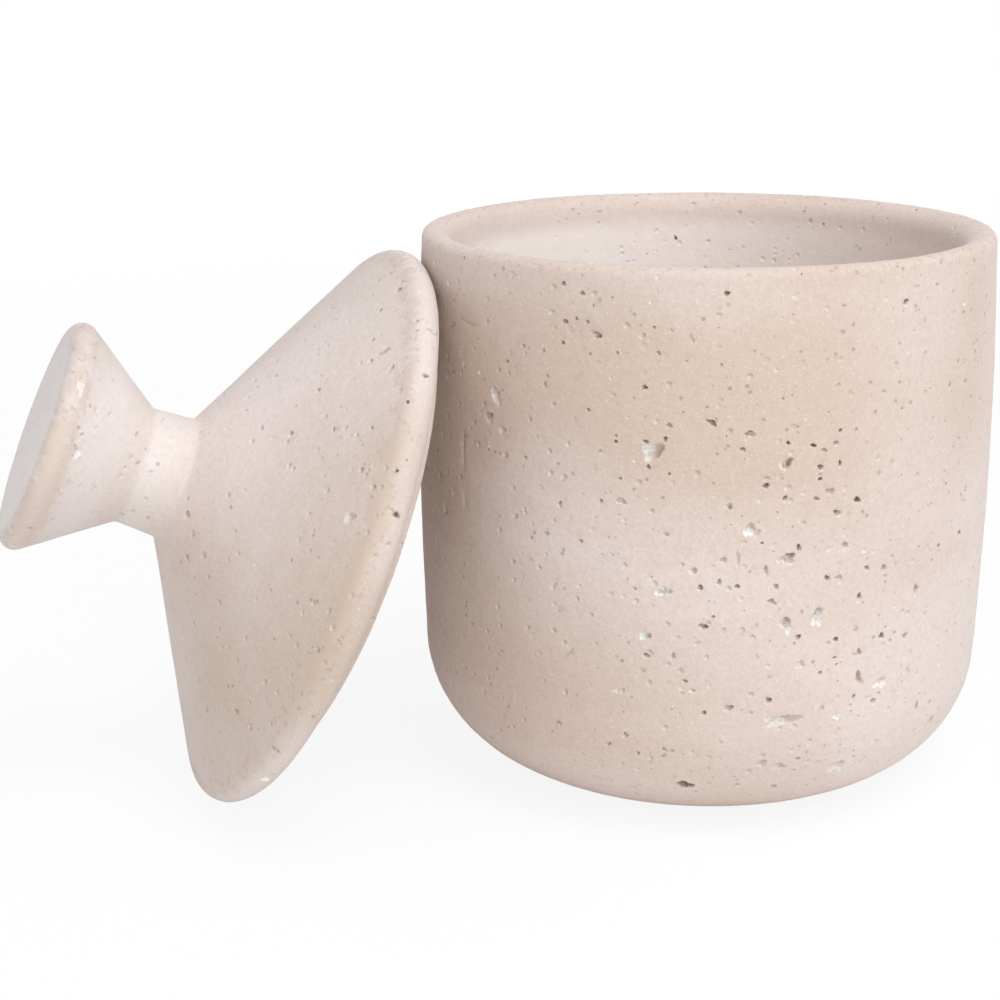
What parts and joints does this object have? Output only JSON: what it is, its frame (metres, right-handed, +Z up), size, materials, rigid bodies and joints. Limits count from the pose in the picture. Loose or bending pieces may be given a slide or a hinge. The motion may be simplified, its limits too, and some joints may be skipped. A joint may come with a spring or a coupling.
{
  "type": "lidded round box",
  "caption": "Round pitted ceramic pot with a rounded lip, and its conical lid with a flared knob, off and leaning against the wall.",
  "frame": {"origin": "centre of the pot's flat base, on the surface that it stands on", "axes": "+Z up along the pot's axis; the lid leans on the -X side, turned a little towards -Y, which is the front"},
  "size_m": [0.223, 0.1575, 0.125],
  "materials": {
    "pot_body": "matt, unglazed, pitted, sand to pink with soft level bands",
    "lid_body": "matt, unglazed, fine pits, pale pink with worn tan edges"
  },
  "bodies": {
    "pot": {"pot": "pot_body"},
    "lid": {"lid": "lid_body"}
  },
  "joints": [
    {"name": "lid_lift", "type": "slide", "parent": "pot", "child": "lid", "axis": [0, 0, 1], "range_m": [0, 0.15]}
  ]
}
